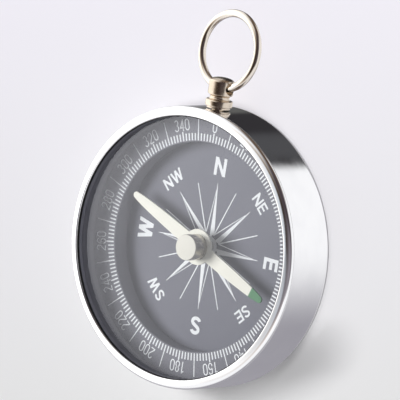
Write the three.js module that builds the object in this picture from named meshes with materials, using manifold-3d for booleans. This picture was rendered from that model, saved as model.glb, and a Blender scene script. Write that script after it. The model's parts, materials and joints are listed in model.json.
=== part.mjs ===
// Pocket compass: a polished round case, a swinging needle under glass, and a wire ring on a stem.
// Millimetres. The back lies on z = 0, +Z comes out of the dial and +Y points to the stem at North.
import * as THREE from 'three';
import { mergeVertices } from 'three/addons/utils/BufferGeometryUtils.js';
import Module from 'manifold-3d';

const wasm = await Module();
wasm.setup();

// Case and bezel
const caseDiameter = 50;
const caseHeight = 11;
const caseWall = 0.8;
const caseFloor = 1;
const backRound = 0.5;
const shoulderHeight = 1;
const shoulderLand = 0.15;
const seamChamfer = 0.12;
const spigotThickness = 0.25;
const spigotLength = 0.85;
const lipThickness = 0.55;
const lipCover = 0.35;
const lipRound = 0.15;

// Glass and what holds it
const glassThickness = 0.6;
const glassBevel = 0.1;
const gasketThickness = 0.15;
const liningThickness = 0.15;
const liningDrop = 0.2;
const sleeveHeight = 0.85;

// Dial
const baseThickness = 0.9;
const dialThickness = 0.5;
const chapterHeight = 3.3;
const chapterRim = 0.3;
const scaleWidth = 4.85;
const scaleChamfer = 0.2;

// Pivot
const pinRadius = 0.4;
const pinPointLength = 1;
const bushFlangeRadius = 2;
const bushRadius = 1.3;
const bushRise = 0.9;
const bushChamfer = 0.25;

// Needle
const needleTipGap = 1.55;
const needleBearing = 111.3;
const bladeThickness = 0.35;
const bladeEyeRadius = 3.2;
const bladeRootHalfWidth = 1.28;
const bladeBelly = 1.15;
const bladeBellyPlace = 0.7;
const bladeTipRadius = 0.62;
const hubRadius = 2.3;
const hubHeight = 3.2;
const hubShoulder = 0.3;
const hubWall = 0.35;
const hubCeiling = 0.5;
const hubChamfer = 0.12;
const hubRivetDepth = 0.25;
const jewelHeight = 1;
const jewelConeRadius = 1;
const jewelConeDepth = 0.7;

// Stem at North
const stemBelowSeam = 3.85;
const stemShankRadius = 1.1;
const stemRivetRadius = 1.6;
const stemRivetThickness = 0.3;
const stemRivetGap = 0.15;
const stemFootRadius = 2.1;
const stemFootLength = 0.4;
const stemCollarRadius = 2.43;
const stemCollarLength = 1.25;
const stemCollarRound = 0.3;
const stemWaistRadius = 1.72;
const stemWaistLength = 0.9;
const stemBarrelRadius = 2.25;
const stemBarrelLength = 2.35;
const stemBarrelRound = 0.2;
const stemDomeHeight = 0.75;
const stemHoleToShoulder = 0.95;

// Wire ring
const wireRadius = 0.7;
const wireGap = 0.15;
const ringRadius = 6.68;
const ringLean = THREE.MathUtils.degToRad(6.3);
const ringTilt = THREE.MathUtils.degToRad(6.5);
const ringEndGap = 0.2;

// Clearances
const fitGap = 0.1;
const seatGap = 0.15;
const pinGap = 0.05;
const liningGap = 0.05;
const needleGlassGap = 0.15;
const drillOverrun = 1;
const weldTolerance = 1e-4;

// Facets
const roundSegments = 72;
const turnedSegments = 36;
const pinSegments = 20;
const wireSegments = 64;
const wireSides = 12;
const bladeCurveSegments = 10;
const edgeSteps = 2;
const backSteps = 5;
const shoulderSteps = 9;
const stemSteps = 6;

// Radii worked out from the case inwards
const caseRadius = caseDiameter / 2;
const wallInner = caseRadius - caseWall;
const innerFit = wallInner - fitGap;
const spigotInner = innerFit - spigotThickness;
const glassRadius = spigotInner - fitGap;
const lipInner = glassRadius - lipCover;
const liningOuter = lipInner - liningGap;
const liningInner = liningOuter - liningThickness;
const rimInner = glassRadius - chapterRim;
const scaleInner = rimInner - scaleWidth;
const needleReach = scaleInner - needleTipGap;

// Heights worked out from the floor up and from the lip down
const dialBottom = caseFloor + baseThickness;
const dialTop = dialBottom + dialThickness;
const scaleTop = dialTop + chapterHeight;
const seamHeight = caseHeight - shoulderHeight - shoulderLand;
const lipBottom = caseHeight - lipThickness;
const sleeveTop = lipBottom - gasketThickness;
const glassTop = sleeveTop - sleeveHeight;
const glassBottom = glassTop - glassThickness;
const hubTop = glassBottom - needleGlassGap;
const bladeTop = hubTop - hubHeight;
const bladeBottom = bladeTop - bladeThickness;
const hubBoreTop = hubTop - hubCeiling;
const hubNeckRadius = hubRadius - hubShoulder;
const hubBoreRadius = hubNeckRadius - hubWall;
const pinTop = hubBoreTop - jewelHeight + jewelConeDepth - pinGap;

// Lengths along the stem, from the round wall outwards
const collarStart = stemFootLength;
const collarEnd = collarStart + stemCollarLength;
const barrelStart = collarEnd + stemWaistLength;
const barrelEnd = barrelStart + stemBarrelLength;
const stemHole = barrelEnd - stemHoleToShoulder;
const rivetOuter = -caseWall - stemRivetGap;
const rivetInner = rivetOuter - stemRivetThickness;
const stemHeight = seamHeight - stemBelowSeam;

// The wire bows and leans inside the cross hole, so the hole is wider than the wire
const boreBow = ringRadius - Math.sqrt(ringRadius ** 2 - stemBarrelRadius ** 2);
const leanShift = stemBarrelRadius * Math.sin(ringLean);
const ringSag = boreBow / 2;
const stemHoleRadius = wireRadius + Math.hypot(ringSag, leanShift) + wireGap;

function finish(color, roughness, metalness) {
  return new THREE.MeshStandardMaterial({ color, roughness, metalness });
}

const polishedAluminium = finish(0xe4e5e8, 0.12, 1);
const nickelPlate = finish(0xd2cabc, 0.12, 1);
const hubMetal = finish(0x9a948c, 0.3, 1);
const pivotMetal = finish(0x8b8a88, 0.35, 1);
const pinSteel = finish(0xb5b7ba, 0.2, 1);
const blackRubber = finish(0x121214, 0.7, 0);
const slateSleeve = finish(0x3a3b42, 0.45, 0);
const blackScale = finish(0x1b1c20, 0.5, 0);
const blackDial = finish(0x1b1c20, 0.5, 0);
const basePlastic = finish(0x26272a, 0.6, 0);
const needleCream = finish(0xf4f0e0, 0.55, 0);
const jewelAgate = finish(0xa8553a, 0.15, 0);
const clearGlass = new THREE.MeshStandardMaterial({
  color: 0xf2f6f6, roughness: 0.03, metalness: 0, transparent: true, opacity: 0.35,
});

// A solid of revolution about Z from [radius, height] points, listed counter-clockwise.
function turned(points, segments) {
  const profile = points.map(([radius, height]) => new THREE.Vector2(radius, height));
  return new THREE.LatheGeometry(profile, segments).rotateX(Math.PI / 2);
}

// A ring of revolution: the profile closes on its first point.
function turnedRing(points, segments) {
  return turned([...points, points[0]], segments);
}

// Points of a quarter ellipse between two angles in degrees, both ends included.
function quarterArc(center, radii, from, to, steps) {
  return Array.from({ length: steps + 1 }, (_, step) => {
    const angle = THREE.MathUtils.degToRad(from + ((to - from) * step) / steps);
    return [center[0] + radii[0] * Math.cos(angle), center[1] + radii[1] * Math.sin(angle)];
  });
}

function toSolid(geometry) {
  const bare = geometry.clone();
  bare.deleteAttribute('normal');
  bare.deleteAttribute('uv');
  const merged = mergeVertices(bare, weldTolerance);
  const corners = merged.index.array;
  const kept = [];
  for (let i = 0; i < corners.length; i += 3) {
    const [a, b, c] = [corners[i], corners[i + 1], corners[i + 2]];
    if (a !== b && b !== c && c !== a) kept.push(a, b, c);
  }
  return new wasm.Manifold(new wasm.Mesh({
    numProp: 3,
    vertProperties: new Float32Array(merged.attributes.position.array),
    triVerts: new Uint32Array(kept),
  }));
}

function toGeometry(solid) {
  const mesh = solid.getMesh();
  const geometry = new THREE.BufferGeometry();
  geometry.setAttribute('position', new THREE.BufferAttribute(mesh.vertProperties, 3));
  geometry.setIndex(new THREE.BufferAttribute(mesh.triVerts, 1));
  geometry.computeVertexNormals();
  return geometry;
}

function cut(geometry, ...tools) {
  return toGeometry(tools.reduce((solid, tool) => solid.subtract(toSolid(tool)), toSolid(geometry)));
}

// A round bar along Y at the stem's height, between two distances from the case's axis.
function barAtStem(radius, from, to) {
  return new THREE.CylinderGeometry(radius, radius, to - from, turnedSegments)
    .translate(0, (from + to) / 2, stemHeight);
}

// Case body: a turned cup with a rounded back edge and one hole for the stem
function caseBody() {
  const cup = turned([
    [0, 0],
    ...quarterArc([caseRadius - backRound, backRound], [backRound, backRound], -90, 0, backSteps),
    [caseRadius, seamHeight - seamChamfer],
    [caseRadius - seamChamfer, seamHeight],
    [wallInner, seamHeight],
    [wallInner, caseFloor],
    [0, caseFloor],
  ], roundSegments);
  return cut(cup, barAtStem(stemShankRadius + fitGap, wallInner - drillOverrun, caseRadius + drillOverrun));
}

// Front bezel: a rounded shoulder with a thin lip over the glass and a spigot inside the case wall
function frontBezel() {
  const lipEdge = lipInner + lipRound;
  const shoulder = [caseRadius - lipEdge, shoulderHeight];
  const shoulderBase = caseHeight - shoulderHeight;
  return turnedRing([
    [spigotInner, seamHeight - spigotLength],
    [innerFit, seamHeight - spigotLength],
    [innerFit, seamHeight],
    [caseRadius - seamChamfer, seamHeight],
    [caseRadius, seamHeight + seamChamfer],
    ...quarterArc([lipEdge, shoulderBase], shoulder, 0, 90, shoulderSteps),
    ...quarterArc([lipEdge, caseHeight - lipRound], [lipRound, lipRound], 120, 180, edgeSteps),
    [lipInner, lipBottom],
    [spigotInner, lipBottom],
  ], roundSegments);
}

// Crystal: a flat glass disc with ground edges
function crystal() {
  return turned([
    [0, glassBottom],
    [glassRadius - glassBevel, glassBottom],
    [glassRadius, glassBottom + glassBevel],
    [glassRadius, glassTop - glassBevel],
    [glassRadius - glassBevel, glassTop],
    [0, glassTop],
  ], roundSegments);
}

// A plain ring with a square section
function squareRing(inner, outer, bottom, top) {
  return turnedRing([[inner, bottom], [outer, bottom], [outer, top], [inner, top]], roundSegments);
}

// Crystal gasket: a flat seal under the lip, with a thin upstand that lines the lip's opening
function crystalGasket() {
  const liningTop = caseHeight - liningDrop;
  return turnedRing([
    [liningInner, sleeveTop],
    [glassRadius, sleeveTop],
    [glassRadius, lipBottom],
    [liningOuter, lipBottom],
    [liningOuter, liningTop],
    [liningInner, liningTop],
  ], roundSegments);
}

// Chapter ring: the raised degree scale, with a tall rim that carries the glass and a pocket for the rivet
function chapterRing() {
  const ring = turnedRing([
    [scaleInner, dialTop],
    [innerFit, dialTop],
    [innerFit, glassBottom],
    [rimInner, glassBottom],
    [rimInner, scaleTop],
    [scaleInner + scaleChamfer, scaleTop],
    [scaleInner, scaleTop - scaleChamfer],
  ], roundSegments);
  const pocketFloor = caseRadius + rivetInner - fitGap;
  return cut(ring, barAtStem(stemRivetRadius + fitGap, pocketFloor, caseRadius));
}

// Pivot bush: a flanged boss that the dial plate holds down, bored for the pin
function pivotBush() {
  const bore = pinRadius + pinGap;
  const top = dialTop + bushRise;
  return turnedRing([
    [bore, caseFloor],
    [bushFlangeRadius, caseFloor],
    [bushFlangeRadius, dialBottom],
    [bushRadius, dialBottom],
    [bushRadius, top - bushChamfer],
    [bushRadius - bushChamfer, top],
    [bore, top],
  ], turnedSegments);
}

// Pivot pin: a steel pin with a long point
function pivotPin() {
  return turned([
    [0, caseFloor],
    [pinRadius, caseFloor],
    [pinRadius, pinTop - pinPointLength],
    [0, pinTop],
  ], pinSegments);
}

// Needle blade: a flat strip that swells a little and narrows to round tips, with a round eye for the hub
function needleBlade() {
  const tipCenter = needleReach - bladeTipRadius;
  const eyeAngle = Math.asin(bladeRootHalfWidth / bladeEyeRadius);
  const rootX = bladeEyeRadius * Math.cos(eyeAngle);
  const bellyX = (rootX + tipCenter) * bladeBellyPlace;
  const outline = new THREE.Shape();
  outline.moveTo(rootX, -bladeRootHalfWidth);
  outline.quadraticCurveTo(bellyX, -bladeBelly, tipCenter, -bladeTipRadius);
  outline.absarc(tipCenter, 0, bladeTipRadius, -Math.PI / 2, Math.PI / 2);
  outline.quadraticCurveTo(bellyX, bladeBelly, rootX, bladeRootHalfWidth);
  outline.absarc(0, 0, bladeEyeRadius, eyeAngle, Math.PI - eyeAngle);
  outline.quadraticCurveTo(-bellyX, bladeBelly, -tipCenter, bladeTipRadius);
  outline.absarc(-tipCenter, 0, bladeTipRadius, Math.PI / 2, Math.PI * 1.5);
  outline.quadraticCurveTo(-bellyX, -bladeBelly, -rootX, -bladeRootHalfWidth);
  outline.absarc(0, 0, bladeEyeRadius, Math.PI + eyeAngle, Math.PI * 2 - eyeAngle);
  const eye = new THREE.Path();
  eye.absarc(0, 0, hubNeckRadius + fitGap, 0, Math.PI * 2);
  outline.holes.push(eye);
  return new THREE.ExtrudeGeometry(outline, {
    depth: bladeThickness, bevelEnabled: false, curveSegments: bladeCurveSegments,
  }).translate(0, 0, bladeBottom);
}

// Needle hub: a turned cap that stands on the blade and is riveted under it
function needleHub() {
  return turned([
    [hubBoreRadius, bladeBottom - hubRivetDepth],
    [hubRadius, bladeBottom - hubRivetDepth],
    [hubRadius, bladeBottom],
    [hubNeckRadius, bladeBottom],
    [hubNeckRadius, bladeTop],
    [hubRadius, bladeTop],
    [hubRadius, hubTop - hubChamfer],
    [hubRadius - hubChamfer, hubTop],
    [0, hubTop],
    [0, hubBoreTop],
    [hubBoreRadius, hubBoreTop],
    [hubBoreRadius, bladeBottom - hubRivetDepth],
  ], turnedSegments);
}

// Needle jewel: a small cup with the cone that rides on the pin's point
function needleJewel() {
  const bottom = hubBoreTop - jewelHeight;
  return turned([
    [0, bottom + jewelConeDepth],
    [jewelConeRadius, bottom],
    [hubBoreRadius - fitGap, bottom],
    [hubBoreRadius - fitGap, hubBoreTop],
    [0, hubBoreTop],
  ], turnedSegments);
}

// Bow stem: a turned pendant with a domed barrel, a waist and a collar, riveted through the case wall
function bowStem() {
  const waist = quarterArc(
    [stemBarrelRadius, (collarEnd + barrelStart) / 2],
    [stemBarrelRadius - stemWaistRadius, stemWaistLength / 2],
    250, 110, stemSteps,
  );
  const collarEdge = stemCollarRadius - stemCollarRound;
  const barrelEdge = stemBarrelRadius - stemBarrelRound;
  const pendant = turned([
    [0, rivetInner],
    [stemRivetRadius, rivetInner],
    [stemRivetRadius, rivetOuter],
    [stemShankRadius, rivetOuter],
    [stemShankRadius, seatGap],
    [stemFootRadius, seatGap],
    [stemFootRadius, collarStart],
    ...quarterArc([collarEdge, collarStart + stemCollarRound],
      [stemCollarRound, stemCollarRound], -60, 0, edgeSteps),
    ...quarterArc([collarEdge, collarEnd - stemCollarRound],
      [stemCollarRound, stemCollarRound], 0, 60, edgeSteps),
    ...waist,
    ...quarterArc([barrelEdge, barrelStart + stemBarrelRound],
      [stemBarrelRound, stemBarrelRound], -60, 0, edgeSteps),
    ...quarterArc([0, barrelEnd], [stemBarrelRadius, stemDomeHeight], 0, 90, stemSteps),
  ], turnedSegments);
  const drillLength = (stemBarrelRadius + drillOverrun) * 2;
  const crossHole = new THREE.CylinderGeometry(stemHoleRadius, stemHoleRadius, drillLength, turnedSegments)
    .rotateZ(Math.PI / 2).translate(0, 0, stemHole);
  return cut(pendant, crossHole);
}

// The open circle that the ring's wire follows, with its two ends at the bottom
class RingPath extends THREE.Curve {
  getPoint(t, target = new THREE.Vector3()) {
    const halfGap = ringEndGap / 2 / ringRadius;
    const angle = -Math.PI / 2 + halfGap + t * (Math.PI - halfGap) * 2;
    return target.set(Math.cos(angle) * ringRadius, ringRadius + Math.sin(angle) * ringRadius, 0);
  }
}

// Bow ring: round wire bent to a circle whose ends meet inside the stem's cross hole
function bowRing() {
  const section = new THREE.Shape();
  section.absarc(0, 0, wireRadius, 0, Math.PI * 2);
  return new THREE.ExtrudeGeometry(section, {
    steps: wireSegments, curveSegments: wireSides / 2, extrudePath: new RingPath(),
  });
}

function piece(name, geometry, material) {
  const mesh = new THREE.Mesh(geometry, material);
  mesh.name = name;
  return mesh;
}

const compass = new THREE.Group();
compass.add(
  piece('case_body', caseBody(), polishedAluminium),
  piece('front_bezel', frontBezel(), polishedAluminium),
  piece('crystal', crystal(), clearGlass),
  piece('crystal_gasket', crystalGasket(), blackRubber),
  piece('spacer_sleeve', squareRing(liningInner, glassRadius, glassTop, sleeveTop), slateSleeve),
  piece('chapter_ring', chapterRing(), blackScale),
  piece('dial_plate', squareRing(bushRadius + fitGap, innerFit, dialBottom, dialTop), blackDial),
  piece('dial_base', squareRing(bushFlangeRadius + fitGap, innerFit, caseFloor, dialBottom), basePlastic),
  piece('pivot_bush', pivotBush(), pivotMetal),
  piece('pivot_pin', pivotPin(), pinSteel),
);

// The needle's green end points along its own +X, turned clockwise from North to its bearing
const needle = new THREE.Group();
needle.rotation.z = THREE.MathUtils.degToRad(90 - needleBearing);
needle.add(
  piece('needle_blade', needleBlade(), needleCream),
  piece('needle_hub', needleHub(), hubMetal),
  piece('needle_jewel', needleJewel(), jewelAgate),
);
compass.add(needle);

// The stem stands out of the round wall along +Y
const stem = new THREE.Group();
stem.position.set(0, caseRadius, stemHeight);
stem.rotation.x = -Math.PI / 2;
stem.add(piece('bow_stem', bowStem(), nickelPlate));
compass.add(stem);

// The ring hangs loose in the cross hole: it leans about the stem's axis and tilts back about the hole's
const ring = new THREE.Group();
ring.position.y = -ringSag;
ring.rotation.y = -ringLean;
ring.add(piece('bow_ring', bowRing(), nickelPlate));
const swing = new THREE.Group();
swing.position.set(0, caseRadius + stemHole, stemHeight);
swing.rotation.x = -ringTilt;
swing.add(ring);
compass.add(swing);

export default compass;
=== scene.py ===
# Pocket compass: a polished case, a printed dial, a swinging needle under glass and a wire ring.
import json
import math

import bmesh
import bpy
from mathutils import Matrix, Vector


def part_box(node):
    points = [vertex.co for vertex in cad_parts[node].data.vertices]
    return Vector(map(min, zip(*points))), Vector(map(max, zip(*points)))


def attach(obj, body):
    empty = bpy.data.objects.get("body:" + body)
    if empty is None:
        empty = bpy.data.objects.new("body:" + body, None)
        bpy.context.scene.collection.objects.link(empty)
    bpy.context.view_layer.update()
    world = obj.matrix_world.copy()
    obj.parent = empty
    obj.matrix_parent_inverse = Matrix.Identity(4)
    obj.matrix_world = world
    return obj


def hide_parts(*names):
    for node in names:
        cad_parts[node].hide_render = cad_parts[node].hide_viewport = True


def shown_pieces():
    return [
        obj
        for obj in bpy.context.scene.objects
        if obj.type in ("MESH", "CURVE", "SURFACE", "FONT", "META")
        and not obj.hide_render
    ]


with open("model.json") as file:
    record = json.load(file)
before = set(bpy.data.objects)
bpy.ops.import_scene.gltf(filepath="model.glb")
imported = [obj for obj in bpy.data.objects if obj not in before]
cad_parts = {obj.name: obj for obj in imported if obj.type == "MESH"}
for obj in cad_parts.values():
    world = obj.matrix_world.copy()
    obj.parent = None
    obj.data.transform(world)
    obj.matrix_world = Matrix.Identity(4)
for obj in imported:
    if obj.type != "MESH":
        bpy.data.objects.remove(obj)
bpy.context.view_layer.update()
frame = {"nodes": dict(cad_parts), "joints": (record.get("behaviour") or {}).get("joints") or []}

# Sizes are in millimetres, and meshes are scaled to metres at the end
MM = 0.001


def corners(node):
    """Lowest and highest corner of a node at rest, in millimetres."""
    low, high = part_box(node)
    return low / MM, high / MM


# Heights and radii that the frame gives
case_high = corners("case_body")[1]
bezel_low, bezel_high = corners("front_bezel")
glass_low, glass_high = corners("crystal")
gasket_low, gasket_high = corners("crystal_gasket")
sleeve_low, sleeve_high = corners("spacer_sleeve")
chapter_low, chapter_high = corners("chapter_ring")
dial_low, dial_high = corners("dial_plate")
boss_low, boss_high = corners("pivot_bush")
blade_low, blade_high = corners("needle_blade")
hub_low, hub_high = corners("needle_hub")
case_radius = case_high.x
seam = case_high.z
glass_radius = glass_high.x
swing = next(joint for joint in frame["joints"] if joint["name"] == "bow_swing")
ring_pivot = Vector(swing["pos_m"]) / MM

# Case and bezel
case_wall = 0.8
case_floor = 1.0
wall_margin = 0.1
back_round = 0.5
seam_chamfer = 0.05
spigot_inner = 23.85
spigot_gap = 0.1
shoulder_height = 1.0
bezel_slope = math.radians(10)
lip_inner = 23.4
lip_thickness = 0.55
lip_bottom = bezel_high.z - lip_thickness
lip_bead = 0.09
bead_round = 0.28

# Glass, gasket and sleeve
glass_bevel = 0.1
lining_gap = 0.05
lining_thickness = 0.15
lining_outer = lip_inner - lining_gap
lining_inner = lining_outer - lining_thickness
ring_edge = 0.04

# Dial, degree ring and boss
scale_inner = 18.6
scale_top = 5.7
scale_edge = 0.2
scale_rim = 0.3
dial_lap = 0.6
boss_bore = 0.45
boss_flange = 2.0
boss_radius = 1.3
boss_edge = 0.25
ink = 0.02

# Needle
needle_bearing = 111.3
blade_reach = 17.05
blade_eye = 3.2
blade_root = 1.28
blade_belly = 1.15
blade_belly_place = 0.7
blade_tip = 0.62
blade_round = 0.06
green_start = 14.1
green_blur = 0.1
hub_radius = 2.3
hub_neck = 2.0
hub_neck_gap = 0.1
hub_bore = 1.65
hub_ceiling = 0.5
hub_chamfer = 0.12
cap_paint = 0.06
cap_margin = 0.05

# Stem
stem_shank = 1.1
stem_rivet = 1.6
stem_rivet_gap = 0.15
stem_rivet_thickness = 0.3
stem_gap = 0.15
stem_foot = 2.1
stem_foot_length = 0.4
stem_collar = 2.43
stem_collar_length = 1.25
stem_collar_round = 0.3
stem_waist = 1.72
stem_waist_length = 0.9
stem_barrel = 2.25
stem_barrel_length = 2.35
stem_barrel_round = 0.2
stem_barrel_rows = (1.5, 0.7)
stem_dome = 0.75
stem_hole = 1.165
drill_reach = 4

# Wire ring
wire_radius = 0.7
wire_loop = 6.68
wire_lean = math.radians(6.3)
wire_tilt = math.radians(6.5)
wire_sag = 0.195
wire_gap = 0.2
wire_steps = 220
wire_sides = 28

# Mesh fineness, and the angle in degrees from which an edge shows as sharp
FINE = 288
MEDIUM = 128
SMALL = 64
SHARP = 35
TINY = 1e-6
MERGE = 1e-5


# Shapes


def arc(center, radii, start, end, steps):
    """Points of an ellipse between two angles in degrees, both ends included."""
    angles = [math.radians(start + (end - start) * k / steps) for k in range(steps + 1)]
    return [(center[0] + radii[0] * math.cos(a), center[1] + radii[1] * math.sin(a)) for a in angles]


def bend(start, corner, end, steps):
    """Points of a curve from start to end that leans towards a corner."""
    points = []
    for k in range(steps + 1):
        t = k / steps
        weights = ((1 - t) ** 2, 2 * t * (1 - t), t ** 2)
        axes = zip(start, corner, end)
        points.append(tuple(sum(w * v for w, v in zip(weights, axis)) for axis in axes))
    return points


def add_object(name, data):
    """A new object in the scene."""
    piece = bpy.data.objects.new(name, data)
    bpy.context.scene.collection.objects.link(piece)
    return piece


def mesh_in_metres(name, bm):
    """A mesh in metres from a bmesh in millimetres."""
    bmesh.ops.recalc_face_normals(bm, faces=bm.faces)
    bmesh.ops.scale(bm, vec=(MM, MM, MM), verts=bm.verts)
    mesh = bpy.data.meshes.new(name)
    bm.to_mesh(mesh)
    bm.free()
    return mesh


def smooth(mesh, sharp):
    """Smooth shading apart from the sharp edges."""
    mesh.shade_smooth()
    mesh.set_sharp_from_angle(angle=math.radians(sharp))


def mesh_object(name, bm, sharp=SHARP):
    """A smooth object from a bmesh in millimetres."""
    bmesh.ops.remove_doubles(bm, verts=bm.verts, dist=MERGE)
    mesh = mesh_in_metres(name, bm)
    smooth(mesh, sharp)
    return add_object(name, mesh)


def baked(name, source, sharp=SHARP):
    """The object's final mesh as a new plain object, with the source removed."""
    view = bpy.context.evaluated_depsgraph_get()
    mesh = bpy.data.meshes.new_from_object(source.evaluated_get(view))
    bpy.data.objects.remove(source)
    mesh.name = name
    smooth(mesh, sharp)
    return add_object(name, mesh)


def turned(name, profile, segments=FINE, closed=False, sharp=SHARP):
    """A surface of revolution about Z from (radius, height) points."""
    bm = bmesh.new()
    angles = [2 * math.pi * k / segments for k in range(segments)]
    rings = []
    for radius, height in profile:
        points = [(0, 0, height)]
        if radius >= TINY:
            points = [(radius * math.cos(a), radius * math.sin(a), height) for a in angles]
        rings.append([bm.verts.new(point) for point in points])
    pairs = list(zip(rings, rings[1:]))
    if closed:
        pairs.append((rings[-1], rings[0]))
    for lower, upper in pairs:
        if len(lower) == 1 and len(upper) == 1:
            continue
        for k in range(segments):
            following = k + 1
            loop = [
                lower[k % len(lower)], lower[following % len(lower)],
                upper[following % len(upper)], upper[k % len(upper)],
            ]
            bm.faces.new(list(dict.fromkeys(loop)))
    return mesh_object(name, bm, sharp)


def place(piece, body, slot, material, *nodes):
    """Give a piece its finish and its body, and hide the nodes that it stands for."""
    piece.data.materials.clear()
    piece.data.materials.append(material)
    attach(piece, body)
    if nodes:
        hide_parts(*nodes)
    return piece


# Materials


def new_material(name, base, metallic=0.0, roughness=0.4):
    """A material with one Principled shader, and its nodes, links and shader."""
    material = bpy.data.materials.new(name)
    material.use_nodes = True
    nodes, links = material.node_tree.nodes, material.node_tree.links
    shader = nodes["Principled BSDF"]
    shader.inputs["Base Color"].default_value = (*base, 1)
    shader.inputs["Metallic"].default_value = metallic
    shader.inputs["Roughness"].default_value = roughness
    return material, nodes, links, shader


def noise(nodes, links, scale, stretch=(1, 1, 1)):
    """A noise value in the piece's own metres, stretched along the axes."""
    where = nodes.new("ShaderNodeTexCoord")
    mapping = nodes.new("ShaderNodeMapping")
    mapping.inputs["Scale"].default_value = stretch
    texture = nodes.new("ShaderNodeTexNoise")
    texture.inputs["Scale"].default_value = scale
    texture.inputs["Detail"].default_value = 3.0
    links.new(where.outputs["Object"], mapping.inputs["Vector"])
    links.new(mapping.outputs["Vector"], texture.inputs["Vector"])
    return texture.outputs["Fac"]


def distance_along(nodes, links, direction, coordinates="Object"):
    """How far a point lies along a direction."""
    where = nodes.new("ShaderNodeTexCoord")
    dot = nodes.new("ShaderNodeVectorMath")
    dot.operation = "DOT_PRODUCT"
    dot.inputs[1].default_value = direction
    links.new(where.outputs[coordinates], dot.inputs[0])
    return dot.outputs["Value"]


def ramp(nodes, links, value, start, end, low=0, high=1, interpolation="LINEAR"):
    """A value that goes from low to high as another goes from start to end."""
    node = nodes.new("ShaderNodeMapRange")
    node.interpolation_type = interpolation
    node.inputs["From Min"].default_value = start
    node.inputs["From Max"].default_value = end
    node.inputs["To Min"].default_value = low
    node.inputs["To Max"].default_value = high
    links.new(value, node.inputs["Value"])
    return node.outputs["Result"]


def spread(nodes, links, value, low=0, high=1):
    """The middle of a noise value spread over a range."""
    return ramp(nodes, links, value, 0.3, 0.7, low, high)


def tint(nodes, links, value, first, second):
    """A colour between two, by a value from 0 to 1. Each is three numbers or another node's colour."""
    mix = nodes.new("ShaderNodeMix")
    mix.data_type = "RGBA"
    for socket, colour in (("A", first), ("B", second)):
        if isinstance(colour, tuple):
            mix.inputs[socket].default_value = (*colour, 1)
        else:
            links.new(colour, mix.inputs[socket])
    links.new(value, mix.inputs["Factor"])
    return mix.outputs["Result"]


def bump(nodes, links, shader, value, depth, strength=1.0):
    """Relief of a given depth in metres."""
    node = nodes.new("ShaderNodeBump")
    node.inputs["Strength"].default_value = strength
    node.inputs["Distance"].default_value = depth
    links.new(value, node.inputs["Height"])
    links.new(node.outputs["Normal"], shader.inputs["Normal"])


def metal(name, bright, dull, rough, lines, size=500, depth=0.0000002):
    """Polished metal with faint cloudiness and lines or waves along the turning direction."""
    material, nodes, links, shader = new_material(name, bright, 1.0)
    cloud = noise(nodes, links, 260)
    links.new(spread(nodes, links, cloud, *rough), shader.inputs["Roughness"])
    colour = tint(nodes, links, spread(nodes, links, cloud), bright, dull)
    links.new(colour, shader.inputs["Base Color"])
    bump(nodes, links, shader, noise(nodes, links, size, lines), depth)
    return material


def paint(name, light, dark, rough, grain, depth):
    """Matt paint, plastic or ink with a fine grain and a little unevenness."""
    material, nodes, links, shader = new_material(name, light)
    fine = noise(nodes, links, grain)
    wide = noise(nodes, links, 220)
    colour = tint(nodes, links, spread(nodes, links, wide), light, dark)
    links.new(colour, shader.inputs["Base Color"])
    links.new(spread(nodes, links, fine, *rough), shader.inputs["Roughness"])
    bump(nodes, links, shader, fine, depth)
    return material


def lume_paint():
    """Cream luminous paint on the needle, with a green end beyond green_start."""
    cream, shade, green = (0.89, 0.87, 0.78), (0.86, 0.84, 0.75), (0.10, 0.25, 0.13)
    material, nodes, links, shader = new_material("lume_paint", cream, 0, 0.55)
    grain = noise(nodes, links, 5200)
    cloud = noise(nodes, links, 420)
    body = tint(nodes, links, spread(nodes, links, cloud), cream, shade)
    angle = math.radians(needle_bearing)
    along = distance_along(nodes, links, (math.sin(angle), math.cos(angle), 0))
    edge = ramp(nodes, links, along, (green_start - green_blur) * MM, (green_start + green_blur) * MM)
    links.new(tint(nodes, links, edge, body, green), shader.inputs["Base Color"])
    links.new(spread(nodes, links, grain, 0.5, 0.65), shader.inputs["Roughness"])
    bump(nodes, links, shader, grain, 0.00002, 0.6)
    return material


def clear_glass():
    """Clear glass that lets lamp light through to the dial."""
    material, nodes, links, shader = new_material("clear_glass", (0.97, 0.985, 0.985), 0, 0.0)
    shader.inputs["Transmission Weight"].default_value = 1.0
    shader.inputs["IOR"].default_value = 1.5
    smear = noise(nodes, links, 60)
    links.new(spread(nodes, links, smear, 0.0, 0.02), shader.inputs["Roughness"])
    open_side = nodes.new("ShaderNodeBsdfTransparent")
    path = nodes.new("ShaderNodeLightPath")
    surface = shader.outputs["BSDF"]
    for ray in ("Is Diffuse Ray", "Is Shadow Ray"):
        mix = nodes.new("ShaderNodeMixShader")
        links.new(path.outputs[ray], mix.inputs["Fac"])
        links.new(surface, mix.inputs[1])
        links.new(open_side.outputs["BSDF"], mix.inputs[2])
        surface = mix.outputs["Shader"]
    links.new(surface, nodes["Material Output"].inputs["Surface"])
    return material


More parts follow.
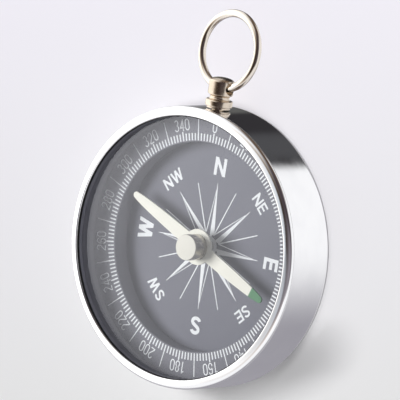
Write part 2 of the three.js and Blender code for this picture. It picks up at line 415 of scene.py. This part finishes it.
# Metals, with two colours, the range of roughness and the stretch of the tool lines
aluminium = metal(
    "polished_aluminium", (0.92, 0.92, 0.93), (0.89, 0.89, 0.905),
    rough=(0.07, 0.12), lines=(1, 1, 6), size=90, depth=0.000008,
)
nickel = metal(
    "nickel_plate", (0.80, 0.74, 0.67), (0.75, 0.68, 0.60), rough=(0.1, 0.16), lines=(1, 30, 1)
)
worn_nickel = metal(
    "worn_nickel", (0.72, 0.63, 0.53), (0.62, 0.53, 0.43), rough=(0.2, 0.27), lines=(1, 30, 1)
)
hub_metal = metal(
    "hub_metal", (0.52, 0.49, 0.44), (0.34, 0.32, 0.29), rough=(0.2, 0.34), lines=(8, 8, 1)
)
boss_metal = metal(
    "boss_metal", (0.5, 0.49, 0.47), (0.42, 0.41, 0.39), rough=(0.3, 0.42), lines=(1, 1, 20)
)
steel = metal(
    "pin_steel", (0.62, 0.62, 0.64), (0.52, 0.52, 0.54), rough=(0.15, 0.25), lines=(1, 1, 20)
)

# Plastics, paints and ink, with two colours, the range of roughness and the grain
rubber = paint(
    "black_rubber", (0.012, 0.012, 0.013), (0.018, 0.018, 0.02),
    rough=(0.6, 0.8), grain=2600, depth=0.00001,
)
slate = paint(
    "slate_sleeve", (0.22, 0.22, 0.26), (0.20, 0.20, 0.24),
    rough=(0.5, 0.6), grain=2200, depth=0.000003,
)
scale_black = paint(
    "scale_black", (0.185, 0.183, 0.21), (0.175, 0.173, 0.20),
    rough=(0.55, 0.62), grain=900, depth=0.000002,
)
dial_black = paint(
    "dial_black", (0.182, 0.182, 0.214), (0.172, 0.172, 0.204),
    rough=(0.55, 0.62), grain=900, depth=0.000002,
)
base_plastic = paint(
    "base_plastic", (0.02, 0.02, 0.022), (0.03, 0.03, 0.032),
    rough=(0.45, 0.6), grain=1800, depth=0.00001,
)
white_ink = paint(
    "white_ink", (0.89, 0.90, 0.92), (0.86, 0.87, 0.89),
    rough=(0.5, 0.6), grain=3000, depth=0.000003,
)
agate = paint(
    "jewel_agate", (0.35, 0.1, 0.05), (0.25, 0.06, 0.03),
    rough=(0.1, 0.2), grain=900, depth=0.000001,
)
cap_cream = paint(
    "cap_cream", (0.80, 0.775, 0.70), (0.74, 0.715, 0.64),
    rough=(0.45, 0.6), grain=1600, depth=0.00001,
)
lume = lume_paint()
glass = clear_glass()


# Case, bezel, glass and dial


def case_shell():
    """The cup: a flat back, a round lower edge and a straight wall."""
    wall_inner = case_radius - case_wall
    chamfer = (seam_chamfer, seam_chamfer)
    profile = [
        (0, 0),
        *arc((case_radius - back_round, back_round), (back_round, back_round), -90, 0, 10),
        (case_radius, back_round + wall_margin),
        (case_radius, seam - seam_chamfer - wall_margin),
        (case_radius, seam - seam_chamfer),
        *arc((case_radius - seam_chamfer, seam - seam_chamfer), chamfer, 10, 90, 4),
        (wall_inner, seam),
        (wall_inner, case_floor),
        (0, case_floor),
    ]
    piece = turned("case_shell", profile)
    return place(piece, "case", "polished_aluminium", aluminium, "case_body")


def bezel_ring():
    """The front ring: a curved shoulder, a round lip over the glass and a spigot in the case."""
    top = bezel_high.z
    lip_edge = lip_inner - lip_bead + bead_round
    bead_end = 180 + math.degrees(math.acos(1 - lip_bead / bead_round))
    spigot_outer = case_radius - case_wall - spigot_gap
    shoulder = top - shoulder_height
    crown = top - math.tan(bezel_slope) * (case_radius - lip_edge)
    chamfer = (seam_chamfer, seam_chamfer)
    profile = [
        (spigot_inner, bezel_low.z),
        (spigot_outer, bezel_low.z),
        (spigot_outer, seam),
        (case_radius - seam_chamfer, seam),
        *arc((case_radius - seam_chamfer, seam + seam_chamfer), chamfer, -80, 0, 4),
        *bend((case_radius, shoulder), (case_radius, crown), (lip_edge, top), 24),
        *arc((lip_edge, top - bead_round), (bead_round, bead_round), 100, bead_end, 12),
        (lip_inner, lip_bottom),
        (spigot_inner, lip_bottom),
    ]
    piece = turned("bezel_ring", profile, closed=True)
    return place(piece, "case", "polished_aluminium", aluminium, "front_bezel")


def glass_disc():
    """The flat glass with ground edges."""
    low, high = glass_low.z, glass_high.z
    profile = [
        (0, low),
        (glass_radius - glass_bevel, low),
        (glass_radius, low + glass_bevel),
        (glass_radius, high - glass_bevel),
        (glass_radius - glass_bevel, high),
        (0, high),
    ]
    return place(turned("glass_disc", profile, sharp=20), "case", "clear_glass", glass, "crystal")


def square_ring(name, inner, outer, low, high):
    """A ring with a square section and small rounded edges."""
    radii = (ring_edge, ring_edge)
    profile = [
        *arc((inner + ring_edge, low + ring_edge), radii, 180, 270, 3),
        *arc((outer - ring_edge, low + ring_edge), radii, 270, 360, 3),
        *arc((outer - ring_edge, high - ring_edge), radii, 0, 90, 3),
        *arc((inner + ring_edge, high - ring_edge), radii, 90, 180, 3),
    ]
    return turned(name, profile, closed=True)


def lip_gasket():
    """The seal: a flange under the lip and a thin collar inside it."""
    radii = (ring_edge, ring_edge)
    top = gasket_high.z - ring_edge
    profile = [
        (lining_inner, gasket_low.z),
        (gasket_high.x, gasket_low.z),
        (gasket_high.x, lip_bottom),
        (lining_outer, lip_bottom),
        *arc((lining_outer - ring_edge, top), radii, 0, 90, 3),
        *arc((lining_inner + ring_edge, top), radii, 90, 180, 3),
    ]
    piece = turned("lip_gasket", profile, closed=True)
    return place(piece, "case", "black_rubber", rubber, "crystal_gasket")


def scale_ring():
    """The degree ring: a raised flat face with a round inner edge and a rim that carries the glass."""
    rim_inner = glass_radius - scale_rim
    edge = (scale_edge, scale_edge)
    profile = [
        (scale_inner, chapter_low.z),
        (chapter_high.x, chapter_low.z),
        (chapter_high.x, chapter_high.z),
        (rim_inner, chapter_high.z),
        (rim_inner, scale_top),
        *arc((scale_inner + scale_edge, scale_top - scale_edge), edge, 90, 180, 6),
    ]
    piece = turned("scale_ring", profile, closed=True)
    return place(piece, "case", "black_scale", scale_black, "chapter_ring")


def pivot_boss():
    """The boss in the middle of the dial, with its flange under the dial."""
    edge = (boss_edge, boss_edge)
    profile = [
        (boss_bore, boss_low.z),
        (boss_flange, boss_low.z),
        (boss_flange, dial_low.z),
        (boss_radius, dial_low.z),
        *arc((boss_radius - boss_edge, boss_high.z - boss_edge), edge, 0, 90, 6),
        (boss_bore, boss_high.z),
    ]
    piece = turned("pivot_boss", profile, MEDIUM, closed=True)
    return place(piece, "case", "pivot_metal", boss_metal, "pivot_bush")


case = case_shell()
bezel = bezel_ring()
glass_disc()
lip_gasket()
sleeve = square_ring("sleeve_ring", lining_inner, sleeve_high.x, sleeve_low.z, sleeve_high.z)
place(sleeve, "case", "slate_sleeve", slate, "spacer_sleeve")
scale = scale_ring()
dial = square_ring("dial_disc", boss_high.x - dial_lap, dial_high.x, dial_low.z, dial_high.z)
place(dial, "case", "black_dial", dial_black, "dial_plate")
pivot_boss()

# The hidden base, the pin and the jewel keep their shapes
for node, material in (("dial_base", base_plastic), ("pivot_pin", steel), ("needle_jewel", agate)):
    kept = frame["nodes"][node]
    kept.data.materials.clear()
    kept.data.materials.append(material)


# Needle


def blade_outline():
    """One side of the blade after the other, counter-clockwise from the root of the green end."""
    tip = blade_reach - blade_tip
    eye_angle = math.degrees(math.asin(blade_root / blade_eye))
    eye_start = eye_angle + 3
    root = blade_eye * math.cos(math.radians(eye_angle))
    belly = (root + tip) * blade_belly_place
    half = [
        *bend((root, -blade_root), (belly, -blade_belly), (tip, -blade_tip), 16),
        *arc((tip, 0), (blade_tip, blade_tip), -80, 80, 14),
        *bend((tip, blade_tip), (belly, blade_belly), (root, blade_root), 16),
        *arc((0, 0), (blade_eye, blade_eye), eye_start, 180 - eye_start, 30),
    ]
    return half + [(-x, -y) for x, y in half]


def needle_plate():
    """The blade: a thin plate with rounded edges and a round hole for the hub."""
    curve = bpy.data.curves.new("needle_outline", "CURVE")
    curve.dimensions = "2D"
    curve.fill_mode = "BOTH"
    thickness = blade_high.z - blade_low.z
    curve.extrude = (thickness / 2 - blade_round) * MM
    curve.bevel_depth = blade_round * MM
    curve.bevel_resolution = 3
    curve.offset = -blade_round * MM
    hole = hub_neck + hub_neck_gap
    for points in (blade_outline(), arc((0, 0), (hole, hole), 0, 350, 35)):
        spline = curve.splines.new("POLY")
        spline.points.add(len(points) - 1)
        spline.use_cyclic_u = True
        for point, (x, y) in zip(spline.points, points):
            point.co = (x * MM, y * MM, 0, 1)
    piece = baked("needle_plate", add_object("needle_outline", curve))
    turn = Matrix.Rotation(math.radians(90 - needle_bearing), 4, "Z")
    lift = Matrix.Translation((0, 0, (blade_low.z + blade_high.z) / 2 * MM))
    piece.data.transform(lift @ turn)
    return place(piece, "needle", "needle_paint", lume, "needle_blade")


def needle_cap():
    """The tall round cap that holds the blade, with a painted top."""
    top = hub_high.z - cap_paint
    ceiling = hub_high.z - hub_ceiling
    chamfer = (hub_chamfer, hub_chamfer)
    profile = [
        (hub_bore, hub_low.z),
        (hub_radius, hub_low.z),
        (hub_radius, blade_low.z),
        (hub_neck, blade_low.z),
        (hub_neck, blade_high.z),
        (hub_radius, blade_high.z),
        *arc((hub_radius - hub_chamfer, top - hub_chamfer), chamfer, 0, 90, 5),
        (0, top),
        (0, ceiling),
        (hub_bore, ceiling),
    ]
    piece = turned("needle_cap", profile, MEDIUM, closed=True)
    place(piece, "needle", "hub_metal", hub_metal, "needle_hub")
    radius = hub_radius - cap_margin
    disc = [
        (0, top),
        (radius, top),
        *arc((radius - cap_paint, top), (cap_paint, cap_paint), 0, 90, 5),
        (0, hub_high.z),
    ]
    return place(turned("needle_cap_paint", disc, MEDIUM), "needle", "needle_paint", cap_cream)


needle_plate()
needle_cap()


# Stem and wire ring


def pendant():
    """The turned stem: a rivet end, a foot, a collar, a waist and a domed barrel with a cross hole."""
    collar_start = stem_foot_length
    collar_end = collar_start + stem_collar_length
    barrel_start = collar_end + stem_waist_length
    barrel_end = barrel_start + stem_barrel_length
    rivet_outer = -case_wall - stem_rivet_gap
    rivet_inner = rivet_outer - stem_rivet_thickness
    collar_edge = stem_collar - stem_collar_round
    barrel_edge = stem_barrel - stem_barrel_round
    collar_round = (stem_collar_round, stem_collar_round)
    barrel_round = (stem_barrel_round, stem_barrel_round)
    waist_radii = (stem_barrel - stem_waist, stem_waist_length / 2)
    profile = [
        (0, rivet_inner),
        (stem_rivet, rivet_inner),
        (stem_rivet, rivet_outer),
        (stem_shank, rivet_outer),
        (stem_shank, stem_gap),
        (stem_foot, stem_gap),
        (stem_foot, collar_start),
        *arc((collar_edge, collar_start + stem_collar_round), collar_round, -75, 0, 6),
        *arc((collar_edge, collar_end - stem_collar_round), collar_round, 0, 75, 6),
        *arc((stem_barrel, (collar_end + barrel_start) / 2), waist_radii, 255, 105, 14),
        *arc((barrel_edge, barrel_start + stem_barrel_round), barrel_round, -75, 0, 6),
        *[(stem_barrel, barrel_end - row) for row in stem_barrel_rows],
        *arc((0, barrel_end), (stem_barrel, stem_dome), 0, 90, 18),
    ]
    stem = turned("stem_blank", profile, MEDIUM)
    bore = [(0, -drill_reach), (stem_hole, -drill_reach), (stem_hole, drill_reach), (0, drill_reach)]
    drill = turned("stem_drill", bore, SMALL)
    hole_height = ring_pivot.y - case_radius
    across = Matrix.Rotation(math.radians(90), 4, "Y")
    drill.data.transform(Matrix.Translation((0, 0, hole_height * MM)) @ across)
    cut = stem.modifiers.new("cross_hole", "BOOLEAN")
    cut.operation = "DIFFERENCE"
    cut.solver = "EXACT"
    cut.object = drill
    piece = baked("stem_pendant", stem, 40)
    bpy.data.objects.remove(drill)
    lay = Matrix.Rotation(math.radians(-90), 4, "X")
    piece.data.transform(Matrix.Translation((0, case_radius * MM, ring_pivot.z * MM)) @ lay)
    return place(piece, "case", "nickel_plate", worn_nickel, "bow_stem")


def wire_ring():
    """Round wire on an open circle, with its two ends inside the stem's hole."""
    lean = Matrix.Rotation(-wire_tilt, 3, "X") @ Matrix.Rotation(-wire_lean, 3, "Y")
    center = ring_pivot + lean @ Vector((0, wire_loop - wire_sag, 0))
    half_gap = wire_gap / 2 / wire_loop
    bm = bmesh.new()
    rings = []
    for k in range(wire_steps + 1):
        angle = -math.pi / 2 + half_gap + (math.pi - half_gap) * 2 * k / wire_steps
        out = Vector((math.cos(angle), math.sin(angle), 0))
        ring = []
        for j in range(wire_sides):
            turn = 2 * math.pi * j / wire_sides
            offset = out * (wire_loop + wire_radius * math.cos(turn))
            offset.z = wire_radius * math.sin(turn)
            ring.append(bm.verts.new(center + lean @ offset))
        rings.append(ring)
    for first, second in zip(rings, rings[1:]):
        for j in range(wire_sides):
            n = (j + 1) % wire_sides
            bm.faces.new((first[j], first[n], second[n], second[j]))
    bm.faces.new(rings[0])
    bm.faces.new(rings[-1])
    return place(mesh_object("wire_ring", bm), "bow", "nickel_plate", nickel, "bow_ring")


pendant()
wire_ring()


# Prints: strokes and outlines in a letter's own height, laid on the dial as thin ink


def prism(bm, outline, matrix):
    """A thin plate of ink with a given outline."""
    bottom = [bm.verts.new(matrix @ Vector((x, y, 0))) for x, y in outline]
    top = [bm.verts.new(matrix @ Vector((x, y, ink))) for x, y in outline]
    bm.faces.new(top)
    bm.faces.new(list(reversed(bottom)))
    count = len(outline)
    for k in range(count):
        n = (k + 1) % count
        bm.faces.new((bottom[k], bottom[n], top[n], top[k]))


def offset_line(path, distance, closed):
    """The path moved sideways by a distance, with mitred corners."""
    moved = []
    count = len(path)
    for k, point in enumerate(path):
        before = path[(k - 1) % count] if closed or k else None
        after = path[(k + 1) % count] if closed or k < count - 1 else None
        sides = []
        for first, second in ((before, point), (point, after)):
            if first is not None and second is not None:
                along = (Vector(second) - Vector(first)).normalized()
                sides.append(Vector((-along.y, along.x)))
        normal = sum(sides, Vector((0, 0))).normalized()
        reach = max(normal.dot(sides[0]), 0.5)
        moved.append(tuple(Vector(point) + normal * (distance / reach)))
    return moved


def stroke(bm, path, weight, closed, matrix):
    """A flat line of ink of a given weight along a path."""
    left = offset_line(path, weight / 2, closed)
    right = offset_line(path, -weight / 2, closed)
    last = len(path) if closed else len(path) - 1
    rows = []
    for points, height in ((left, ink), (right, ink), (right, 0), (left, 0)):
        rows.append([bm.verts.new(matrix @ Vector((x, y, height))) for x, y in points])
    for k in range(last):
        n = (k + 1) % len(path)
        for a, b in zip(rows, rows[1:] + rows[:1]):
            bm.faces.new((a[k], a[n], b[n], b[k]))
    if not closed:
        bm.faces.new([row[0] for row in rows])
        bm.faces.new([row[-1] for row in rows])


DIGIT_WEIGHT = 0.097
DIGIT_WIDTH = 0.48
DIGIT_STEP = 0.56

# Each digit is a list of (path, closed) strokes in a box one unit high
zero_top = arc((0.24, 0.70), (0.188, 0.248), 0, 180, 12)
zero_foot = arc((0.24, 0.30), (0.188, 0.248), 180, 360, 12)
two_top = arc((0.24, 0.70), (0.18, 0.248), 168, -32, 14)
two_foot = [(0.07, 0.13), (0.06, 0.052), (0.44, 0.052)]
six_top = arc((0.25, 0.70), (0.185, 0.248), 22, 150, 10)
six_back = [(0.058, 0.56), (0.052, 0.44), (0.052, 0.31)]
DIGITS = {
    "0": [(zero_top + zero_foot, True)],
    "1": [
        ([(0.30, 1.0), (0.30, 0.0)], False),
        ([(0.09, 0.79), (0.20, 0.84), (0.29, 0.96)], False),
    ],
    "2": [(two_top + two_foot, False)],
    "3": [
        (arc((0.225, 0.735), (0.165, 0.213), 158, -90, 14), False),
        (arc((0.225, 0.287), (0.195, 0.235), 90, -158, 16), False),
    ],
    "4": [
        ([(0.33, 0.93), (0.06, 0.29), (0.46, 0.29)], False),
        ([(0.345, 1.0), (0.345, 0.0)], False),
    ],
    "6": [
        (arc((0.24, 0.31), (0.188, 0.258), 0, 345, 23), True),
        (six_top + six_back, False),
    ],
    "8": [
        (arc((0.24, 0.738), (0.155, 0.21), 0, 345, 23), True),
        (arc((0.24, 0.288), (0.188, 0.236), 0, 345, 23), True),
    ],
}


def letter_n(weight):
    """Width and outline of an N one unit high."""
    width, notch = 0.80, 0.36
    outline = [
        (0, 0), (weight, 0), (weight, 1 - notch), (width - weight, 0), (width, 0),
        (width, 1), (width - weight, 1), (width - weight, notch), (weight, 1), (0, 1),
    ]
    return width, outline


def letter_e(weight):
    """Width and outline of an E one unit high."""
    width, arm, middle = 0.66, 0.61, 0.52
    outline = [
        (0, 0), (width, 0), (width, weight), (weight, weight), (weight, middle - weight / 2),
        (arm, middle - weight / 2), (arm, middle + weight / 2), (weight, middle + weight / 2),
        (weight, 1 - weight), (width, 1 - weight), (width, 1), (0, 1),
    ]
    return width, outline


def letter_w(weight):
    """Width and outline of a W one unit high."""
    width = 1.16
    thick = weight * 1.08
    tops = [0, (width - thick) / 2, width - thick]
    feet = [(width - thick) * 0.25, (width - thick) * 0.75]
    notch = thick / (tops[1] - tops[0])
    fork = 1 - thick / (feet[1] - feet[0])
    left_notch = tops[0] + thick + (feet[0] - tops[0]) * (1 - notch)
    outline = [
        (tops[0], 1), (feet[0], 0), (feet[0] + thick, 0), (width / 2, fork),
        (feet[1], 0), (feet[1] + thick, 0), (width, 1), (tops[2], 1),
        (width - left_notch, notch), (tops[1] + thick, 1), (tops[1], 1),
        (left_notch, notch), (thick, 1),
    ]
    return width, outline


def letter_s(weight):
    """Width and middle line of an S one unit high."""
    width = 0.68
    middle = width / 2
    reach = middle - weight / 2
    shift = weight * 0.12
    rise = 0.255 - weight * 0.38
    upper = arc((middle, 0.745 - shift), (reach - 0.01, rise), 12, 240, 20)
    lower = arc((middle, 0.255 + shift), (reach, rise), 60, -168, 20)
    return width, upper + lower


LETTERS = {"N": letter_n, "E": letter_e, "S": letter_s, "W": letter_w}


def on_dial(bearing, radius, height, size):
    """Where a mark of a given size stands: its foot towards the centre at a radius and bearing."""
    turn = Matrix.Rotation(math.radians(-bearing), 4, "Z")
    return turn @ Matrix.Translation((0, radius, height)) @ Matrix.Diagonal((size, size, 1, 1))


def bar(bm, half_width, start, end, matrix):
    """A straight mark between two radii."""
    outline = [(-half_width, start), (half_width, start), (half_width, end), (-half_width, end)]
    prism(bm, outline, matrix)


def ticks(bm):
    """A tick every two degrees, longer ones at the numbers and long thin lines between them."""
    first, short, middle, long = 18.83, 20.13, 20.5, 23.0
    width, fine = 0.27, 0.19
    for degree in range(0, 360, 2):
        end = middle if degree % 20 == 0 else short
        matrix = on_dial(degree, 0, scale_top, 1)
        bar(bm, width / 2, first, end, matrix)
        if degree % 20 == 10:
            bar(bm, fine / 2, end, long, matrix)


def numerals(bm):
    """A number every twenty degrees."""
    size, foot = 2.13, 20.6
    for degree in range(0, 360, 20):
        text = str(degree)
        start = -(DIGIT_STEP * (len(text) - 1) + DIGIT_WIDTH) / 2
        base = on_dial(degree, foot, scale_top, size)
        for index, digit in enumerate(text):
            matrix = base @ Matrix.Translation((start + DIGIT_STEP * index, 0, 0))
            for path, closed in DIGITS[digit]:
                stroke(bm, path, DIGIT_WEIGHT, closed, matrix)


def rose(bm):
    """A star with eight half-filled points and eight thin rays between them."""
    tip, notch, root, middle = 11.4, 2.6, 1.7, 1.95
    tip_half = 0.04
    line, line_end, line_left, line_right = 0.22, 10.2, -0.09, -0.02
    ray_start, ray_foot, ray_tip = 2.3, 0.13, 0.08
    half_turn = math.radians(22.5)
    out, up = notch * math.sin(half_turn), notch * math.cos(half_turn)
    slant = line / math.hypot(out, tip - up) * (tip - up)
    filled = [(0, root), (out, up), (tip_half, tip), (-tip_half, tip)]
    edge = [(-out, up), (slant - out, up), (line_right, line_end), (line_left, line_end)]
    ray = [(-ray_foot, ray_start), (ray_foot, ray_start), (ray_tip, tip), (-ray_tip, tip)]
    prism(bm, arc((0, 0), (middle, middle), 0, 345, 23), on_dial(0, 0, dial_high.z, 1))
    for bearing in range(0, 360, 45):
        point = on_dial(bearing, 0, dial_high.z, 1)
        prism(bm, filled, point)
        prism(bm, edge, point)
        prism(bm, ray, on_dial(bearing + 22.5, 0, dial_high.z, 1))


def points_of_the_compass(bm):
    """Large letters at the four main points and smaller pairs between them."""
    marks = {0: "N", 45: "NE", 90: "E", 135: "SE", 180: "S", 225: "SW", 270: "W", 315: "NW"}
    gap = 0.12
    for bearing, text in marks.items():
        size, middle, weight = (3.25, 14.4, 0.2) if len(text) == 1 else (2.2, 14.1, 0.17)
        base = on_dial(bearing, middle - size / 2, dial_high.z, size)
        glyphs = [LETTERS[letter](weight) for letter in text]
        start = -(sum(width for width, _ in glyphs) + gap * (len(text) - 1)) / 2
        for letter, (width, shape) in zip(text, glyphs):
            matrix = base @ Matrix.Translation((start, 0, 0))
            if letter == "S":
                stroke(bm, shape, weight, False, matrix)
            else:
                prism(bm, shape, matrix)
            start += width + gap


def print_piece(name, slot, draw):
    """One print as a piece of its own."""
    bm = bmesh.new()
    draw(bm)
    piece = add_object(name, mesh_in_metres(name, bm))
    return place(piece, "case", slot, white_ink)


print_piece("scale_ticks", "black_scale", ticks)
print_piece("scale_numbers", "black_scale", numerals)
print_piece("dial_rose", "black_dial", rose)
print_piece("dial_letters", "black_dial", points_of_the_compass)


# Studio: a pale floor, three soft lamps, a bright surround and panels for the reflections


def floor():
    """Pale paper, a little darker towards the south."""
    half, depth = 6.0, -0.00005
    mesh = bpy.data.meshes.new("floor")
    square = [(-half, -half, depth), (half, -half, depth), (half, half, depth), (-half, half, depth)]
    mesh.from_pydata(square, [], [(0, 1, 2, 3)])
    piece = add_object("floor", mesh)
    material, nodes, links, shader = new_material("floor_paper", (0.8, 0.8, 0.82), 0, 0.9)
    shader.inputs["Specular IOR Level"].default_value = 0.0
    along = distance_along(nodes, links, (-0.223, 0.973, 0))
    fade = ramp(nodes, links, along, -0.03, 0.045)
    colour = tint(nodes, links, fade, (0.775, 0.775, 0.775), (0.88, 0.86, 0.92))
    links.new(colour, shader.inputs["Base Color"])
    mesh.materials.append(material)
    piece.visible_glossy = False
    return piece


def toward(bearing, elevation):
    """Unit direction from a compass bearing and a height above the horizon, in degrees."""
    level = math.cos(math.radians(elevation))
    turn = math.radians(bearing)
    return Vector((math.sin(turn) * level, math.cos(turn) * level, math.sin(math.radians(elevation))))


def mask(nodes, links, direction, inner, outer):
    """One within inner degrees of a direction, falling to nothing at outer degrees."""
    dot = distance_along(nodes, links, direction, "Generated")
    start, end = math.cos(math.radians(outer)), math.cos(math.radians(inner))
    return ramp(nodes, links, dot, start, end, interpolation="SMOOTHSTEP")


def surround():
    """An even sky for matt surfaces, and for polished ones a bright room with a few darker sides."""
    world = bpy.data.worlds.new("surround")
    bpy.context.scene.world = world
    world.use_nodes = True
    nodes, links = world.node_tree.nodes, world.node_tree.links
    sky = (0.24, 0.24, 0.246)
    white = (1.03, 1.03, 1.04)
    backdrop = (0.83, 0.83, 0.85)
    # Bearing and elevation, full and faded angle in degrees, colour. Later sides cover earlier ones.
    sides = {
        "bright window in the west": (-85, 20, 30, 62, (1.75, 1.74, 1.70)),
        "grey shade low in the south": (-160, -51, 28, 66, (0.36, 0.35, 0.385)),
        "brown edge low in the north": (-8, -28, 8, 24, (0.18, 0.12, 0.08)),
        "dark wall in the north": (18, 2, 10, 44, (0.11, 0.07, 0.045)),
        "dark patch low in the west": (-62, -52, 8, 24, (0.12, 0.12, 0.115)),
        "black patch low in the north": (-26, -58, 19, 24, (0.036, 0.034, 0.037)),
        "dim glint in that patch": (-12, -50, 3, 13, (0.08, 0.08, 0.085)),
        "pale ground": (0, -90, 17, 34, white),
        "warm light overhead": (100, 84, 14, 58, (0.56, 0.46, 0.36)),
        "dark wall in the east": (90, 35, 10, 27, (0.048, 0.036, 0.034)),
        "dark ceiling in the east": (93, 62, 10, 32, (0.04, 0.029, 0.026)),
        "dark ceiling overhead": (95, 80, 10, 44, (0.04, 0.028, 0.023)),
        "dim wall in the north-east": (72, 46, 12, 32, (0.10, 0.082, 0.09)),
        "dim wall further north": (47, 38, 16, 42, (0.07, 0.054, 0.06)),
    }
    mirrored = white
    for bearing, elevation, inner, outer, colour in sides.values():
        inside = mask(nodes, links, toward(bearing, elevation), inner, outer)
        mirrored = tint(nodes, links, inside, mirrored, colour)
    path = nodes.new("ShaderNodeLightPath")
    seen = tint(nodes, links, path.outputs["Is Glossy Ray"], sky, mirrored)
    for ray in ("Is Transmission Ray", "Is Camera Ray"):
        seen = tint(nodes, links, path.outputs[ray], seen, backdrop)
    links.new(seen, nodes["Background"].inputs["Color"])


def group(name, items):
    """A collection of objects for a lamp to refer to."""
    collection = bpy.data.collections.new(name)
    for item in items:
        collection.objects.link(item)
    return collection


def face_origin(piece, direction, distance):
    """Stand an object off in a direction and turn it towards the origin."""
    piece.location = direction * distance
    piece.rotation_mode = "QUATERNION"
    piece.rotation_quaternion = direction.to_track_quat("Z", "Y")


def soft_light(name, direction, distance, size, power, lit, shading):
    """An area lamp that shines on some objects and takes shadows from some."""
    lamp = bpy.data.lights.new(name, "AREA")
    lamp.shape = "DISK"
    lamp.size = size
    lamp.energy = power
    piece = add_object(name, lamp)
    face_origin(piece, direction, distance)
    piece.visible_glossy = False
    piece.visible_transmission = False
    piece.visible_camera = False
    piece.light_linking.receiver_collection = group(name + "_lit", lit)
    piece.light_linking.blocker_collection = group(name + "_shading", shading)


def glow_material(name, colour):
    """A material with one Emission shader of a colour, and its nodes, links and shader."""
    material = bpy.data.materials.new(name)
    material.use_nodes = True
    nodes, links = material.node_tree.nodes, material.node_tree.links
    nodes.remove(nodes["Principled BSDF"])
    glow = nodes.new("ShaderNodeEmission")
    glow.inputs["Color"].default_value = (*colour, 1)
    links.new(glow.outputs["Emission"], nodes["Material Output"].inputs["Surface"])
    return material, nodes, links, glow


def oval_panel(name, half_length, half_width, spot=Matrix.Identity(4)):
    """A flat oval, moved to a spot."""
    outline = arc((0, 0), (half_length, half_width), 0, 355, 71)
    bm = bmesh.new()
    bm.faces.new([bm.verts.new(spot @ Vector((x, y, 0))) for x, y in outline])
    return mesh_object(name, bm)


def mirrored_only(piece):
    """Keep a panel for reflections alone."""
    piece.visible_camera = False
    piece.visible_diffuse = False
    piece.visible_transmission = False
    piece.visible_shadow = False


def reflector():
    """A soft bright panel that the glass mirrors, brighter towards the north-west."""
    direction = Vector((-0.605, -0.160, 0.780)).normalized()
    distance, radius, shift = 300, 31, Vector((7, 1, 0))
    piece = oval_panel("reflector", radius, radius)
    piece.location = (direction * distance + shift) * MM
    material, nodes, links, glow = glow_material("reflector_glow", (0.98, 0.98, 1.04))
    along = distance_along(nodes, links, (-0.64, 0.77, 0))
    level = ramp(nodes, links, along, -0.04, 0.04, low=0.53, high=3.27)
    links.new(level, glow.inputs["Strength"])
    piece.data.materials.append(material)
    mirrored_only(piece)


def rim_glow(name, direction, inner, outer, colour):
    """A round panel that the bezel alone mirrors, fading out between two angles."""
    distance = 400
    full = distance * math.tan(math.radians(inner))
    radius = distance * math.tan(math.radians(outer))
    piece = oval_panel(name, radius, radius)
    face_origin(piece, direction, distance * MM)
    material, nodes, links, glow = glow_material(name, colour)
    where = nodes.new("ShaderNodeTexCoord")
    away = nodes.new("ShaderNodeVectorMath")
    away.operation = "LENGTH"
    links.new(where.outputs["Object"], away.inputs[0])
    level = ramp(
        nodes, links, away.outputs["Value"], full * MM, radius * MM,
        low=1, high=0, interpolation="SMOOTHSTEP",
    )
    links.new(level, glow.inputs["Strength"])
    clear = nodes.new("ShaderNodeBsdfTransparent")
    both = nodes.new("ShaderNodeAddShader")
    links.new(clear.outputs["BSDF"], both.inputs[0])
    links.new(glow.outputs["Emission"], both.inputs[1])
    links.new(both.outputs["Shader"], nodes["Material Output"].inputs["Surface"])
    piece.data.materials.append(material)
    mirrored_only(piece)
    piece.light_linking.receiver_collection = group(name + "_lit", [bezel])


def floor_shade():
    """A narrow oval, seen by nothing else, that casts a soft shadow on the floor beside the case."""
    half_length, half_width = 17.4, 2.7
    turn = Matrix.Rotation(math.radians(31), 4, "Z")
    spot = Matrix.Translation((18.2, -17.5, 25)) @ turn
    piece = oval_panel("floor_shade", half_length, half_width, spot)
    piece.visible_camera = False
    piece.visible_glossy = False
    piece.visible_diffuse = False
    piece.visible_transmission = False
    return piece


def camera():
    """A long lens that looks at the dial from the right, with North up and a little to the left."""
    back = Vector((0.605, 0.160, 0.780)).normalized()
    up = Vector((-0.223, 0.973, -0.033))
    right = up.cross(back).normalized()
    up = back.cross(right)
    target = Vector((-1.31, 8.19, 5.33)) * MM
    view_width = 70.62 * MM
    data = bpy.data.cameras.new("camera")
    data.lens = 720
    data.sensor_width = 36
    distance = view_width * data.lens / data.sensor_width
    data.clip_start = distance / 50
    data.clip_end = distance * 20
    eye = add_object("camera", data)
    pose = Matrix((right, up, back)).transposed().to_4x4()
    pose.translation = target + back * distance
    eye.matrix_world = pose
    bpy.context.scene.camera = eye


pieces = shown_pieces()
ground = floor()
surround()
reflector()
rim_glow("rim_glow_top", toward(-65, 68), inner=13, outer=21, colour=(0.62, 0.68, 0.74))
rim_glow("rim_glow_side", toward(118, 50), inner=10, outer=44, colour=(0.205, 0.197, 0.222))
rim_glow("rim_glow_low", toward(-158, 66), inner=12, outer=24, colour=(0.42, 0.465, 0.515))
soft_light("key", toward(-88, 53), distance=0.6, size=0.34, power=3.85, lit=pieces, shading=pieces)
soft_light(
    "fill", toward(75, 25), distance=0.8, size=0.30, power=1.25, lit=[scale, sleeve], shading=pieces
)
soft_light(
    "skylight", toward(56, 83), distance=1.2, size=0.47, power=11.2,
    lit=[ground], shading=[case, bezel, floor_shade()],
)
camera()
bpy.context.scene.view_settings.view_transform = "Standard"
